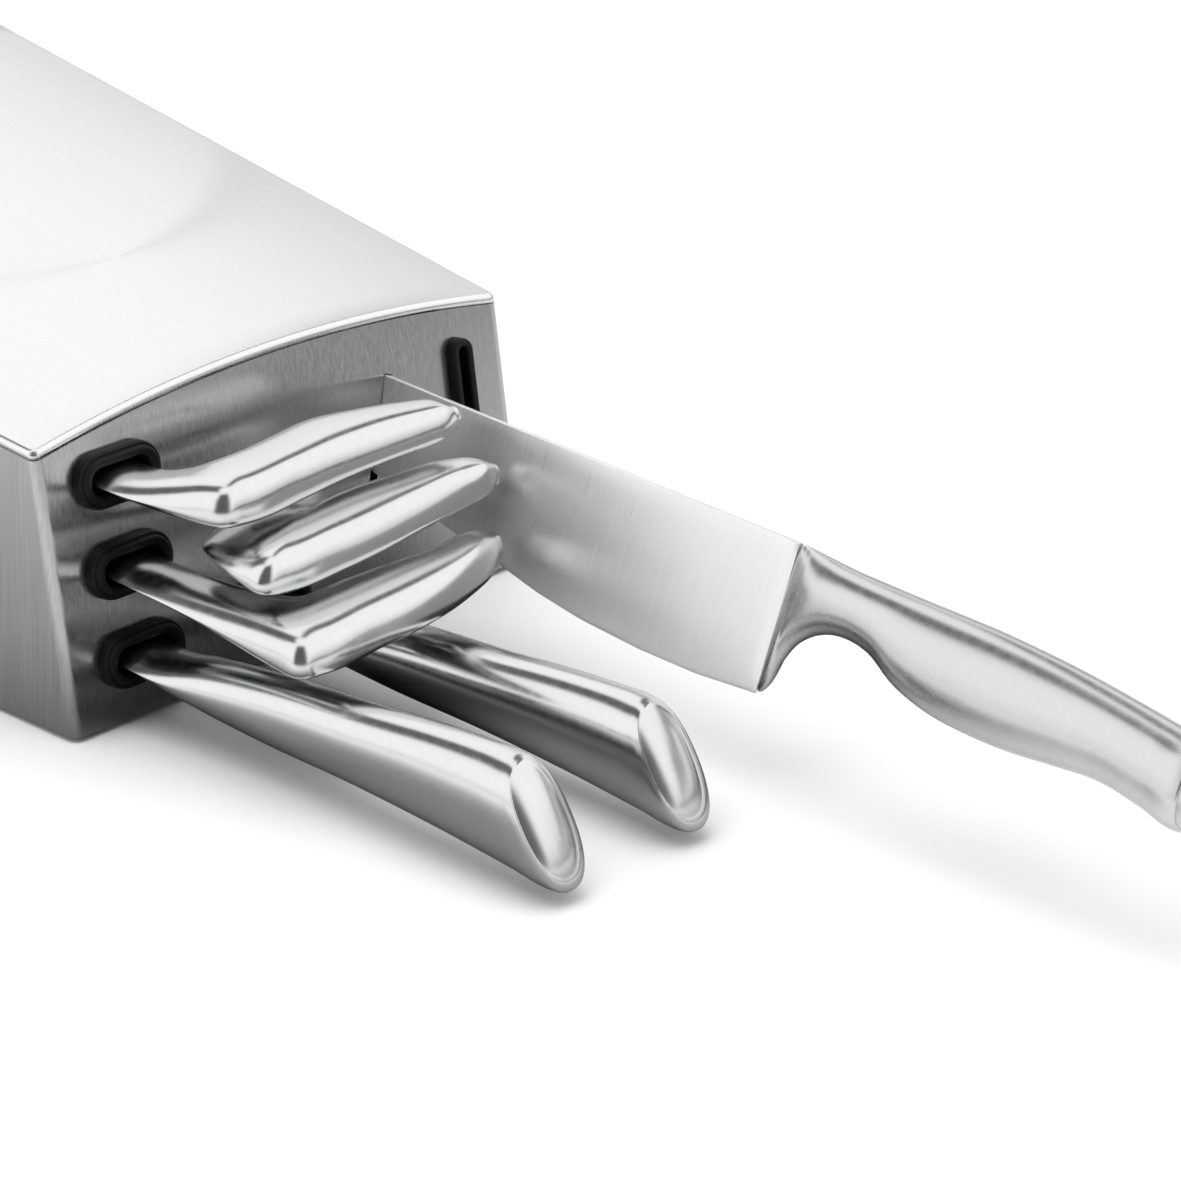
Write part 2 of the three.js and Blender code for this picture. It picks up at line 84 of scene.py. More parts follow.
# rubber rims: distance out from the slot's middle line, height over the panel
RIM = [
    (7.2, 0.1), (7.22, 1.6), (7.1, 2.5), (6.8, 2.95), (6.5, 3.0), (6.3, 2.9), (6.15, 3.1),
    (6.0, 3.55), (5.7, 3.9), (5.3, 4.05), (4.8, 4.0), (4.3, 3.85), (3.85, 3.5), (3.55, 2.9),
    (3.45, 1.6), (3.45, -1.0), (3.5, -6.6), (3.8, -6.9), (4.9, -6.9), (5.2, -6.6), (5.2, -2.0),
    (5.25, -0.1),
]
FREE_RIM = [
    (3.8, 0.1), (3.82, 1.3), (3.72, 2.1), (3.45, 2.6), (3.1, 2.75), (2.6, 2.75), (2.1, 2.7),
    (1.75, 2.5), (1.55, 2.0), (1.5, 0.5), (1.5, -6.6), (1.7, -6.9), (2.7, -6.9), (2.9, -6.6),
    (2.95, -0.1),
]

CHEF = {"x": 38.3, "z": 61.9, "roll": 0.368, "yaw": 0.025, "pitch": -0.019}
BLADE_ALONG = (CHEF["yaw"], -1.0, CHEF["pitch"])
CHEF_SLIT = {"width": 2.7, "top": -0.3, "bottom": 34.0, "reach": 30.0}

# bent handles: [left x, left y, right x, right y, mid height, thickness, bluntness], from slot
# to tip, and the number of the row at the outer corner. Bluntness 0 is a lens, 1 a rounded bar.
BENT = {
    "a": ([
        (-66, 14.8, -48, 14.8, 61.7, 5.6, 0), (-66, 7, -47.8, 7, 61.8, 5.8, 0),
        (-65, -3.5, -46, -1.5, 62.1, 7.4, 0.15), (-63, -13.5, -43.6, -6.2, 62.9, 9.6, 0.4),
        (-60.3, -23.6, -42.2, -8.4, 63.9, 11.4, 0.8), (-58.3, -30.2, -38.8, -9.4, 64.5, 12.2, 1),
        (-46.8, -31.4, -32.8, -8.9, 64.5, 12.4, 1), (-30.8, -30, -22.8, -7.2, 64.5, 12.4, 0.9),
        (-13.8, -28.4, -9.8, -5.4, 64.5, 12.4, 0.8), (2.2, -28.2, 2.7, -8.4, 64.5, 12, 0.7),
        (13.2, -28.4, 15.2, -12.4, 64.5, 10.8, 0.7), (21.2, -28.2, 23.6, -16.4, 64.5, 9.2, 0.7),
        (25.2, -26.6, 26.8, -21.4, 64.5, 6.2, 0.7),
    ], 5),
    "b": ([
        (-18, 12.1, 0, 12.1, 47.6, 5.2, 0), (-18.4, 4.5, -0.2, 4.5, 47.7, 5.4, 0),
        (-29, -3, -4, -7.5, 48.4, 6.2, 0), (-44, -9.8, -9, -14.6, 49.3, 7.4, 0),
        (-54.4, -18, -15, -20, 50.4, 8.8, 0.1), (-58.8, -32.2, -20.5, -22.8, 51, 10.8, 0.5),
        (-59.9, -44.8, -25.6, -24.2, 51.2, 12.2, 1), (-47, -46.8, -23.6, -24, 51.2, 12.2, 1),
        (-34, -46.4, -18.6, -22.6, 51.2, 12.2, 0.9), (-19, -45.4, -9, -21.6, 51.2, 12.2, 0.8),
        (-2, -43.2, 0.5, -22.2, 51.2, 11.8, 0.7), (16.4, -40.4, 19.2, -24, 51.2, 10.6, 0.7),
        (25.2, -39.2, 27.2, -28.6, 51.2, 8.8, 0.7), (28.8, -37.8, 30.2, -32.8, 51.2, 6, 0.7),
    ], 6),
    "c": ([
        (-66, 10.4, -48, 10.4, 38.5, 5.4, 0), (-66, 2, -48, 2, 38.5, 5.6, 0),
        (-65.8, -15, -47, -13, 38.4, 7, 0.1), (-65.4, -31.4, -45.6, -25.4, 38, 8.8, 0.3),
        (-65.2, -47.6, -44, -34.2, 37.7, 10.8, 0.65), (-64.8, -63.6, -41.8, -38.6, 37.4, 12.2, 1),
        (-51.8, -65, -35.8, -39, 37.4, 12.4, 1), (-37.8, -63.8, -29.8, -38.4, 37.4, 12.4, 0.9),
        (-19.3, -62.4, -17.3, -39, 37.4, 12.4, 0.8), (0.2, -58.2, 2, -40, 37.4, 11.4, 0.7),
        (14.2, -52.6, 16.4, -38.8, 37.4, 9.6, 0.7), (19.6, -49, 21, -41.8, 37.4, 6.8, 0.7),
    ], 5),
}
BEND_R = 4.0             # rounding of a bent handle's outer corner
TIP_PUSH = 2.0           # how far a bent handle's rounded tip stands past its last row

# straight handles: [out of the slot, side shift, rise, half width, half height, slant, bluntness]
STRAIGHT = [
    (-3, 0, 0.4, 9, 2.8, 0, 0), (5, 0, 0.3, 9, 3.1, 0, 0), (14, 0.4, -0.1, 8.9, 4.4, 0, 0.25),
    (28, 1.6, 0.2, 8.8, 6.9, 0, 0.6), (46, 2.8, 0.5, 8.5, 8.8, 0.05, 0.9),
    (78, 4.5, 1.2, 8.3, 10.6, 0.15, 1), (104, 5.8, 1.5, 8.7, 12.6, 0.35, 1),
    (122, 6.7, 1.1, 9.2, 13.9, 0.55, 1), (132.6, 7.1, 0.7, 9.5, 14.4, 0.69, 1),
]
# the rounded rim at the end of a straight handle, and the dome that sits high in it. The dome
# has this many rings, and would close at ring number "close"
STRAIGHT_RIM = [
    (134.4, 6.9, 0.95, 9.2, 14.1, 0.69, 1), (135.4, 6.4, 1.5, 8.5, 13.3, 0.69, 1),
    (135.8, 5.8, 2.2, 7.7, 12.4, 0.69, 1), (135.75, 5.4, 2.6, 7.3, 11.9, 0.69, 1),
]
DOME = {"out": 135.6, "rise": 2.9, "power": 2.6, "shift": 5.4, "up": 2.6, "half_w": 7.26,
        "half_h": 11.85, "slant": 0.69, "rings": 14, "close": 13.2}

# chef's knife in its own plane: distance out along the spine, and depth below the spine
CHEF_SPINE = [(141.3, 0), (0, 0), (-30, 0.6), (-50, 2.4), (-65, 6)]
CHEF_EDGE = [
    (141.3, 38.8), (122, 40.3), (103, 40.4), (83, 39.4), (68, 37.6), (51, 34.3), (32, 30.9),
    (12, 27), (-8, 22.8), (-28, 18), (-44, 13.5), (-58, 9), (-65, 6.2),
]
# [out, top depth, bottom depth, half thickness]
CHEF_HANDLE = [
    (140.8, 0.5, 37.2, 0.5), (141.2, 0.3, 38.0, 1.2), (142.0, 0, 38.0, 2.0), (143, 0, 37.0, 2.7),
    (145, 0.1, 29.6, 3.8), (147.2, 0.3, 24.6, 4.8), (151, 0.6, 20.8, 5.8), (156.4, 1, 18.3, 6.5),
    (163, 1.2, 17.5, 7), (170, 1.3, 18.6, 7.5), (180, 1.4, 23.6, 8.2), (190, 1.4, 26.3, 8.8),
    (202, 1.5, 27.4, 9.2), (214, 2, 27.4, 9.2), (228, 3, 26.2, 9), (241, 4.4, 25.4, 8.7),
    (254, 6, 27.2, 8.8), (264, 7.6, 29, 8.8), (265.0, 7.9, 28.8, 8.5), (265.3, 8.4, 28.3, 8.0),
]
CHEF_CAP = [
    (265.2, 8.3, 28.4, 8.1), (266.6, 8.4, 28.7, 8.2), (269, 9.4, 28.5, 7.4), (271.4, 11, 27.4, 5.9),
    (273, 13.4, 25, 3.8), (273.6, 16.2, 21.6, 1.2),
]

CHEF_POWER = 2.3         # how square the section of the chef's handle is

# blades: half thickness, part of the depth above the grind line, and the shape of the tip
CHEF_BLADE = {"half": 1.1, "grind": 0.12, "tip_from": -50, "tip_length": 15, "tip_loss": 0.6}
# the chef's blade grows thicker towards its heel, and is rounded off where it meets the bolster
CHEF_HEEL = {"from": 120, "over": 16, "swell": 0.3, "round_from": 137, "round": 4.2,
             "end_half": 0.35, "round_half": 1.05}
# sections of the chef's blade: every 3 mm from the tip, and closer at the heel
CHEF_SECTIONS = [-65 + 3 * k for k in range(67)] + [136 + 0.6 * k for k in range(9)]
# table knives: the tip begins at this part of the length; there the edge rises, the spine drops
# and the blade gets thinner
STEAK = {"half_depth": 8.0, "half": 0.8, "grind": 0.3, "tip_from": 0.72, "tip_part": 0.28,
         "edge_rise": 11.6, "spine_drop": 4.0, "spine_power": 1.6, "tip_loss": 0.35}
# the spine of every blade, the chef's and the table knives', is softened by up to this
SPINE_SOFT = 0.25
NEAR_EDGE = 0.97         # part of the depth where the last, steeper part of the edge begins
NEAR_EDGE_HALF = 0.264
EDGE_HALF = 0.06

# how finely shapes are divided
LENGTH_STEPS = 24        # along the housing's depth
FRONT_STEPS = 32         # across the front panel
LID_STEPS = 40           # across the lid
REAR_STEPS = 24          # across the top of the rear panel
TURN_STEPS = 8           # round a quarter turn, or the corner of a bent handle
ROW_STEPS = 10           # between two rows of a bent handle
HANDLE_STEPS = 8         # between two rows of a straight or chef's handle
RIM_STEPS = 3            # between two points of a rubber rim's profile
BLADE_STEPS = 36         # along a table knife's blade
GRIP_POINTS = 72         # round a table knife's handle
CHEF_POINTS = 56         # round the chef's knife's handle

# in metres: points of a new piece closer than this are one, and the same for the CAD pieces that
# stay, and how wide their softened edges are
SAME_POINT = 0.0000001
WELD_DISTANCE = 0.00001
SOFT_EDGE = 0.0002

# colours and wear of the materials
SHELL_STEEL = (0.57, 0.574, 0.58)
POLISHED_STEEL = (0.78, 0.785, 0.79)
WEAR_SCALE = (14, 14, 14)
WEAR_SHARE = 0.35        # part of the colour's unevenness that is broad wear and not fine grain
DUST_SCALE = (60, 60, 60)

# studio: brightness of the panels, the part of it that is left low down on the right, the gaps
# between the panels, and where the dark side of the room is
PANEL_TONE = 1.15
LOW_PANEL = 0.62
GAP_TONE = 0.1
FAR_RIGHT_AZIMUTH = math.radians(32.7)
FAR_LEFT_AZIMUTH = math.radians(108)
DARK_SIDE = (-0.74, -0.67, 0.0)
# where the surroundings change from one brightness to another: from, to
FAR_RIGHT_GAP = (0.06, 0.12)     # sideways from the middle of the gap
FAR_LEFT_GAP = (0.17, 0.28)
GAP_HALF = (-0.05, 0.05)         # a gap is only on its own side of the room
GAP_HEIGHT = (0.36, 0.56)        # the gaps begin above this height
DARK_FACING = (0.7, 0.9)         # towards the dark side
TOP_HEIGHT = (0.92, 0.985)       # nothing is dark straight above
RIGHT_HALF = (-0.3, 0.3)
LOW_HEIGHT = (0.0, 0.55)
HORIZON = 0.02
HORIZON_LINE = (0.03, 0.1)       # up or down from the horizon
HORIZON_TONE = (0.8, 0.15)       # brightness of the line on the left and on the right

# painted shade in the table as the steel mirrors it, standing in for shadow by the housing and the
# grips: from this tone to that one, over this range in metres
NEAR_BLOCK = (0.55, 1.0, 0.13, 0.3)
FAR_RIGHT = (0.8, 0.45, 0.4, 0.9)
NEAR_GRIPS = (0.35, 1.0, 0.04, 0.16)
GRIPS_ON_TABLE = (-0.05, -0.2, 0.0)
# painted shadow strip in front of the slots: its tone, the direction across it, and where its edges
# and its start lie
STRIP_TONE = 0.07
STRIP_ACROSS = (0.72, 0.67, 0.0)
STRIP_LEFT = (0.0, 1.0, -0.16, -0.12)
STRIP_RIGHT = (1.0, 0.0, -0.055, -0.035)
STRIP_START = (1.0, 0.0, -0.15, -0.11)
FLOOR_SIZE = 6.0
FLOOR_DARK = (0.9, 0.9, 0.9)
FLOOR_LIGHT = (0.92, 0.92, 0.92)

# lamps: name, place, target, size, power
SOFTBOXES = [
    ("overhead", (-0.2, 0.1, 1.6), (0, 0, 0), 1.6, 17.0),
    ("left", (-1.5, 0.6, 0.7), (0, -0.1, 0.05), 0.9, 3.0),
]
CAMERA_PLACE = (-0.73141, -0.88307, 0.50853)
CAMERA_ACROSS = (0.685, -0.7277, 0.0337)
CAMERA_UP = (0.2849, 0.3102, 0.907)
CAMERA_LENS = 136.79


# ---- placing ----
def row(x, y, z):
    """A point in block millimetres as a point of the row frame, in metres."""
    return ORIGIN + Vector((x, y, z)) * MM


def warp(x, y, z):
    """Straight block coordinates to the flared, wedge-shaped housing with its leaning front."""
    return (
        x * (1 + 2 * FLARE * y / WIDTH),
        y + LEAN * z * (1 - y / DEPTH),
        z * (1 + WEDGE * y / SIDE_H),
    )


def crown_z(x):
    """Height of the dome over the middle line, before the warp."""
    return SIDE_H + CROWN - CROWN_R + math.sqrt(CROWN_R ** 2 - min(abs(x), WIDTH / 2) ** 2)


def chef_axes():
    """Directions of the chef's knife: out along the spine, down to the edge, and sideways."""
    out = Vector((math.sin(CHEF["yaw"]), -1, math.sin(CHEF["pitch"]))).normalized()
    down = Vector((-math.sin(CHEF["roll"]), 0, -math.cos(CHEF["roll"])))
    side = out.cross(down).normalized()
    return out, side.cross(out), side


def chef_point(out, depth, side):
    """A point of the chef's knife: out along the spine, down, and sideways."""
    axis_out, axis_down, axis_side = chef_axes()
    base = Vector((CHEF["x"], LEAN * CHEF["z"], CHEF["z"]))
    return row(*(base + axis_out * out + axis_down * depth + axis_side * side))


def face_point(x, z, u, v, n):
    """A point by a slot of the front panel: u across, v up the panel, n out of it."""
    s, c = math.sin(FACE_ANGLE), math.cos(FACE_ANGLE)
    return row(x + u, LEAN * z + v * s - n * c, z + v * c + n * s)


# ---- curves ----
def smooth_rows(rows, steps):
    """Rows of numbers on a smooth curve through the given rows, steps to each span."""
    rows = [Vector(r) for r in rows]
    gaps = [max((b - a).length, 1e-6) for a, b in zip(rows, rows[1:])]
    slopes = [(b - a) / g for a, b, g in zip(rows, rows[1:], gaps)]
    tangents = [slopes[0]]
    for i in range(1, len(rows) - 1):
        before, after = gaps[i - 1], gaps[i]
        tangents.append((slopes[i - 1] * after + slopes[i] * before) / (before + after))
    tangents.append(slopes[-1])
    result = []
    for i, gap in enumerate(gaps):
        for k in range(steps):
            t = k / steps
            h00 = 2 * t ** 3 - 3 * t ** 2 + 1
            h10 = t ** 3 - 2 * t ** 2 + t
            h01 = 3 * t ** 2 - 2 * t ** 3
            h11 = t ** 3 - t ** 2
            result.append(
                rows[i] * h00 + tangents[i] * (h10 * gap)
                + rows[i + 1] * h01 + tangents[i + 1] * (h11 * gap)
            )
    result.append(rows[-1])
    return result


def bezier(a, b, c, steps):
    """Inner points of a rounded corner from a to c around b."""
    points = []
    for k in range(1, steps):
        t = k / steps
        points.append(a * (1 - t) ** 2 + b * (2 * t * (1 - t)) + c * t ** 2)
    return points


def squarish(value, power):
    """A sine or cosine pushed outwards, for a superellipse of the given power."""
    return math.copysign(abs(value) ** (2 / power), value)


def section(count, across, up):
    """Points round a superellipse of half width and half height 1, with a power for each axis."""
    points = []
    for i in range(count):
        angle = 2 * math.pi * i / count
        points.append((squarish(math.cos(angle), across), squarish(math.sin(angle), up)))
    return points


def bar_section(blunt):
    """From a lens with sharp sides (0) to a bar with round sides (1), widest below the middle."""
    low = 0.42 * blunt
    points = section(GRIP_POINTS, 2.0 + 2.0 * blunt, 1.15 + 0.95 * blunt)
    return [(x, z * (1 + low if z > 0 else 1 - low) - low) for x, z in points]


def straight_section(blunt):
    """From a lens (0) to a slightly squared ellipse (1)."""
    return section(GRIP_POINTS, 2.0 + 0.3 * blunt, 1.2 + 1.1 * blunt)


def value_at(table, x):
    """Linear interpolation in a table of (x, value) pairs sorted from high x to low x."""
    for (x0, v0), (x1, v1) in zip(table, table[1:]):
        if x >= x1:
            return v0 + (v1 - v0) * (x0 - x) / (x0 - x1)
    return table[-1][1]


# ---- meshes ----
def make_object(name, points, faces, sharp=math.radians(50)):
    """A welded, smoothly shaded mesh object with creases over the sharp angle."""
    mesh = bpy.data.meshes.new(name)
    mesh.from_pydata([tuple(p) for p in points], [], faces)
    bm = bmesh.new()
    bm.from_mesh(mesh)
    bmesh.ops.remove_doubles(bm, verts=bm.verts, dist=SAME_POINT)
    bmesh.ops.recalc_face_normals(bm, faces=bm.faces)
    bm.to_mesh(mesh)
    bm.free()
    mesh.shade_smooth()
    mesh.set_sharp_from_angle(angle=sharp)
    obj = bpy.data.objects.new(name, mesh)
    bpy.context.scene.collection.objects.link(obj)
    return obj


def loft(name, rings, sharp=math.radians(50)):
    """A closed body through rings of the same number of points."""
    count = len(rings[0])
    points = [p for ring in rings for p in ring]
    faces = []
    for r in range(len(rings) - 1):
        for i in range(count):
            j = (i + 1) % count
            faces.append((r * count + i, r * count + j, (r + 1) * count + j, (r + 1) * count + i))
    faces.append(tuple(range(count)))
    faces.append(tuple(range((len(rings) - 1) * count, len(rings) * count)))
    return make_object(name, points, faces, sharp)


def ring_loft(name, rings, sharp=math.radians(50)):
    """A closed tube: the last ring joins the first."""
    count = len(rings[0])
    points = [p for ring in rings for p in ring]
    faces = []
    for r in range(len(rings)):
        s = (r + 1) % len(rings)
        for i in range(count):
            j = (i + 1) % count
            faces.append((r * count + i, r * count + j, s * count + j, s * count + i))
    return make_object(name, points, faces, sharp)


def cut(obj, cutters):
    """Cuts closed cutter objects out of obj and removes them."""
    for cutter in cutters:
        modifier = obj.modifiers.new("cut", "BOOLEAN")
        modifier.operation = "DIFFERENCE"
        modifier.solver = "EXACT"
        modifier.object = cutter
    graph = bpy.context.evaluated_depsgraph_get()
    mesh = bpy.data.meshes.new_from_object(obj.evaluated_get(graph))
    obj.modifiers.clear()
    obj.data = mesh
    for cutter in cutters:
        bpy.data.objects.remove(cutter)


def even_shading(obj):
    """Flat parts stay flat in the light right up to the thin bevels beside them."""
    modifier = obj.modifiers.new("even", "WEIGHTED_NORMAL")
    modifier.keep_sharp = True


def finish_piece(obj, body, material, nodes):
    """Material and body of a piece, and the CAD nodes that it stands for."""
    obj.data.materials.clear()
    obj.data.materials.append(material)
    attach(obj, body)
    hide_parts(*nodes)


# ---- material nodes ----
def new_material(name):
    """A material, its node tree and its shader."""
    material = bpy.data.materials.new(name)
    material.use_nodes = True
    return material, material.node_tree, material.node_tree.nodes["Principled BSDF"]


def stretched_noise(tree, scale, detail):
    """Noise over object coordinates, stretched by a different scale along each axis."""
    nodes, links = tree.nodes, tree.links
    coords = nodes.new("ShaderNodeTexCoord").outputs["Object"]
    mapping = nodes.new("ShaderNodeMapping")
    mapping.inputs["Scale"].default_value = scale
    links.new(coords, mapping.inputs["Vector"])
    noise = nodes.new("ShaderNodeTexNoise")
    noise.inputs["Scale"].default_value = 1.0
    noise.inputs["Detail"].default_value = detail
    links.new(mapping.outputs["Vector"], noise.inputs["Vector"])
    return noise.outputs["Fac"]


def ramp(tree, value, low, high, start=0.3, end=0.7):
    """Map a value from start..end to low..high."""
    node = tree.nodes.new("ShaderNodeMapRange")
    node.inputs["From Min"].default_value = start
    node.inputs["From Max"].default_value = end
    node.inputs["To Min"].default_value = low
    node.inputs["To Max"].default_value = high
    tree.links.new(value, node.inputs["Value"])
    return node.outputs["Result"]


def mix_colours(tree, value, dark, light):
    """A colour between dark and light."""
    node = tree.nodes.new("ShaderNodeMix")
    node.data_type = "RGBA"
    node.inputs["A"].default_value = (*dark, 1)
    node.inputs["B"].default_value = (*light, 1)
    tree.links.new(value, node.inputs["Factor"])
    return node.outputs["Result"]


def bump(tree, height, strength, distance):
    """A surface made uneven by a height, distance metres deep."""
    node = tree.nodes.new("ShaderNodeBump")
    node.inputs["Strength"].default_value = strength
    node.inputs["Distance"].default_value = distance
    tree.links.new(height, node.inputs["Height"])
    return node.outputs["Normal"]


def tangent(tree, shader, along):
    """Direction in which highlights are drawn out: round an axis, or along a fixed vector."""
    if isinstance(along, str):
        node = tree.nodes.new("ShaderNodeTangent")
        node.direction_type = "RADIAL"
        node.axis = along
    else:
        node = tree.nodes.new("ShaderNodeCombineXYZ")
        for socket, value in zip(node.inputs, along):
            socket.default_value = value
    tree.links.new(node.outputs[0], shader.inputs["Tangent"])


def steel(name, grain, rough, tint, aniso=0.0, along="Z", depth=0.00002, streak=0.06, metal=1.0):
    """Steel with a grain: fine lines in the roughness, the colour and the surface."""
    material, tree, shader = new_material(name)
    fine = stretched_noise(tree, grain, detail=3.0)
    broad = stretched_noise(tree, WEAR_SCALE, detail=4.0)
    tree.links.new(ramp(tree, fine, rough[0], rough[1]), shader.inputs["Roughness"])
    worn = tree.nodes.new("ShaderNodeMath")
    worn.operation = "MULTIPLY_ADD"
    worn.inputs[1].default_value = WEAR_SHARE
    tree.links.new(broad, worn.inputs[0])
    tree.links.new(ramp(tree, fine, 0.0, 1 - WEAR_SHARE), worn.inputs[2])
    dark = tuple(c * (1 - streak) for c in tint)
    tree.links.new(mix_colours(tree, worn.outputs[0], dark, tint), shader.inputs["Base Color"])
    tree.links.new(bump(tree, fine, 0.25, depth), shader.inputs["Normal"])
    shader.inputs["Metallic"].default_value = metal
    if aniso:
        shader.inputs["Anisotropic"].default_value = aniso
        tangent(tree, shader, along)
    return material


def soft_dark(name, colour, rough, grain, depth):
    """Rubber or plastic with a fine even grain and a little dust in the colour."""
    material, tree, shader = new_material(name)
    fine = stretched_noise(tree, (grain, grain, grain), detail=4.0)
    dust = stretched_noise(tree, DUST_SCALE, detail=5.0)
    light = tuple(c * 1.6 + 0.002 for c in colour)
    tree.links.new(mix_colours(tree, dust, colour, light), shader.inputs["Base Color"])
    tree.links.new(ramp(tree, dust, rough[0], rough[1]), shader.inputs["Roughness"])
    tree.links.new(bump(tree, fine, 0.35, depth), shader.inputs["Normal"])
    shader.inputs["Specular IOR Level"].default_value = 0.2
    return material


def make_materials():
    """All materials, by the names that the pieces are given them under."""
    brushed = {"grain": (2200, 2200, 22), "rough": (0.17, 0.22), "tint": SHELL_STEEL,
               "aniso": 0.8, "along": "Z", "depth": 5e-7, "streak": 0.3}
    lid = {"grain": (2200, 18, 40), "rough": (0.26, 0.28), "tint": (0.88, 0.883, 0.89),
           "aniso": 0.5, "along": "Y", "depth": 1e-7}
    blade = {"grain": (40, 2400, 40), "rough": (0.27, 0.32), "tint": (0.93, 0.932, 0.935),
             "aniso": 0.6, "along": BLADE_ALONG, "depth": 5e-7, "streak": 0.08, "metal": 0.75}
    return {
        "wrap": steel("brushed_wrap", **brushed),
        "lid": steel("brushed_lid", **lid),
        "satin": steel("satin_handle", (500, 500, 500), (0.17, 0.22), POLISHED_STEEL, depth=3e-6),
        "grip": steel("satin_grip", (400, 400, 400), (0.24, 0.29), (0.7, 0.704, 0.71), depth=3e-6),
        "cap": steel("satin_cap", (160, 160, 160), (0.24, 0.28), POLISHED_STEEL, depth=2e-6),
        "blade": steel("ground_blade", **blade),
        "zinc": steel("zinc_plate", (120, 120, 120), (0.34, 0.5), (0.56, 0.57, 0.59)),
        "rubber": soft_dark("slot_rubber", (0.004, 0.004, 0.0045), (0.4, 0.5), 900, 0.00003),
        "plastic": soft_dark("sleeve_plastic", (0.02, 0.021, 0.023), (0.4, 0.55), 1400, 0.00003),
    }


# ---- housing ----
def fold_corner(inset, first):
    """Points round the left front fold, set in by inset, starting at step first."""
    radius = FOLD_R - inset
    points = []
    for k in range(first, TURN_STEPS + 1):
        angle = math.pi / 2 * k / TURN_STEPS
        points.append((-WIDTH / 2 + FOLD_R - radius * math.cos(angle),
                       FOLD_R - radius * math.sin(angle)))
    return points


def wrap_path(offset):
    """Plan of the folded sheet: left wall, fold, front, fold, right wall; set in by offset."""
    half = WIDTH / 2
    walls = [
        DEPTH * (1 - k / LENGTH_STEPS) + FOLD_R * (k / LENGTH_STEPS) for k in range(LENGTH_STEPS)
    ]
    left = [(-half + offset, y) for y in [*walls, FOLD_R + FOLD_STRIP, FOLD_R]]
    left += fold_corner(offset, 1)
    inner = half - FOLD_R
    across = [inner * (2 * k / FRONT_STEPS - 1) for k in range(1, FRONT_STEPS)]
    front = [(x, offset) for x in [-inner + FOLD_STRIP, *across, inner - FOLD_STRIP]]
    return left + front + [(-x, y) for x, y in left[::-1]]


def wrap_rings():
    """Rings of the folded sheet: up its outside and down its inside."""
    levels = [0.0, 0.5, 1.0]
    rings = []
    for offset, heights in ((0.0, levels), (SHEET_T, levels[::-1])):
        for level in heights:
            ring = []
            for x, y in wrap_path(offset):
                top = crown_z(x) - LID_ROLL - LID_SKIRT - SEAM
                ring.append(row(*warp(x, y, top * level)))
            rings.append(ring)
    return rings


def wrap_faces(count, total):
    """Faces between the rings, and the end faces at the back of the walls."""
    faces = []
    for r in range(total):
        s = (r + 1) % total
        for i in range(count - 1):
            faces.append((r * count + i, r * count + i + 1, s * count + i + 1, s * count + i))
    last = count - 1
    for a in range(total // 2 - 1):
        b = a + 1
        c, d = total - 1 - b, total - 1 - a
        for end in (0, last):
            faces.append((a * count + end, b * count + end, c * count + end, d * count + end))
    return faces


def wrap_cutters():
    """Cutters for the openings in the front: the slots, and the slit of the chef's blade."""
    cutters = []
    for x, z in SLOTS.values():
        cutters.append(stadium_bar(x, z, SLOT_HALF, HOLE_HALF_H, False))
    cutters.append(stadium_bar(FREE_X, FREE_Z, FREE_HALF, FREE_HOLE_HALF_W, True))
    slit = CHEF_SLIT
    corners = [(-1, slit["top"]), (1, slit["top"]), (1, slit["bottom"]), (-1, slit["bottom"])]
    rings = [
        [chef_point(out, depth, side * slit["width"] / 2) for side, depth in corners]
        for out in (-slit["reach"], slit["reach"])
    ]
    cutters.append(loft("slit", rings))
    return cutters


def build_wrap(materials):
    """Both walls and the front panel as one folded sheet."""
    crease = math.radians(40)
    rings = wrap_rings()
    points = [p for ring in rings for p in ring]
    wrap = make_object("body_wrap", points, wrap_faces(len(rings[0]), len(rings)), crease)
    cut(wrap, wrap_cutters())
    wrap.data.shade_smooth()
    wrap.data.set_sharp_from_angle(angle=crease)
    even_shading(wrap)
    nodes = ["shell_left", "shell_right", "front_panel"]
    finish_piece(wrap, "block", materials["wrap"], nodes)


def stadium(half, radius, upright, steps=16):
    """Points round a slot's outline, with the straight part's half length and the end radius."""
    points = []
    for end in (1, -1):
        for k in range(steps + 1):
            angle = math.pi * (k / steps - 0.5)
            u = end * (half + radius * math.cos(angle))
            v = end * radius * math.sin(angle)
            points.append((-v, u) if upright else (u, v))
    return points


def stadium_bar(x, z, half, radius, upright):
    """A cutter through the front sheet."""
    rings = [
        [face_point(x, z, u, v, n) for u, v in stadium(half, radius, upright)]
        for n in (-SHEET_T - CUT_PAST, CUT_BEFORE)
    ]
    return loft("hole", rings)


def lid_outline(inset):
    """Front half of the lid's plan outline, from left to right: x, and distance from the front."""
    corner = fold_corner(inset, 0)
    inner = WIDTH / 2 - FOLD_R
    flat = [(inner * (2 * k / LID_STEPS - 1), inset) for k in range(1, LID_STEPS)]
    return corner + flat + [(-x, y) for x, y in corner[::-1]]


def lid_halves():
    """Outlines from the lid's top over its rolled edge to the skirt: front halves, rear halves."""
    front = []
    for k in range(TURN_STEPS + 1):
        angle = math.pi / 2 * k / TURN_STEPS
        inset = LID_ROLL * (1 - math.sin(angle))
        drop = LID_ROLL * (1 - math.cos(angle))
        front.append([(x, y, crown_z(x) - drop) for x, y in lid_outline(inset)])
    front.append([(x, y, z - LID_SKIRT) for x, y, z in front[-1]])
    rear = [[(x, DEPTH - y, z) for x, y, z in half] for half in front]
    return front, rear


